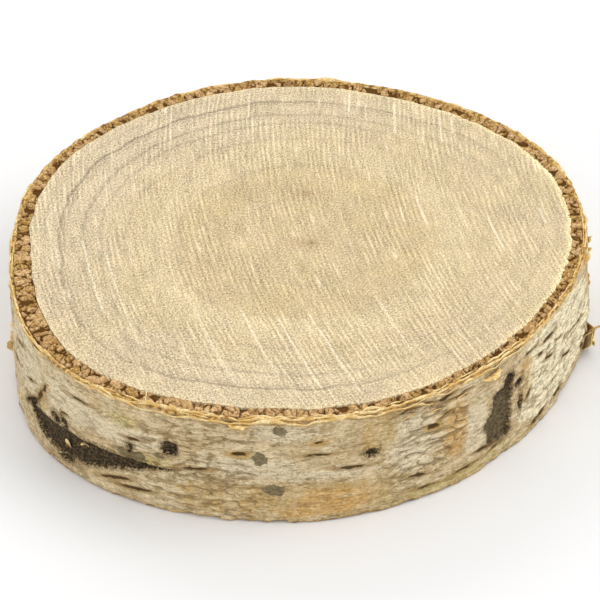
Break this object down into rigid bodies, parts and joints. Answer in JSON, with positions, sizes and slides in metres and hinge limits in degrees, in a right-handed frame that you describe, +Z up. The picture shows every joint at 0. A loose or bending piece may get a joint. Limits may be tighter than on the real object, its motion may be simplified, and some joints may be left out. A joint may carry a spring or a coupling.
{
  "type": "birch wood slice",
  "caption": "Flat round slice of a birch branch with its bark on, sawn level on both faces so that it lies flat and things can stand on it.",
  "frame": {"origin": "middle of the slice's box, on the plane of its lower sawn face", "axes": "+Z up, square to the sawn faces; +Y along the slightly longer way across; -Y towards the side with the long scar at its left"},
  "size_m": [0.0984, 0.1018, 0.0213],
  "materials": {
    "wood": "raw sawn birch, matt, with fine saw marks",
    "bark": "birch bark, matt: cork inside, pale paper bark outside"
  },
  "bodies": {
    "root": {"birch_slice": "wood"}
  },
  "joints": []
}
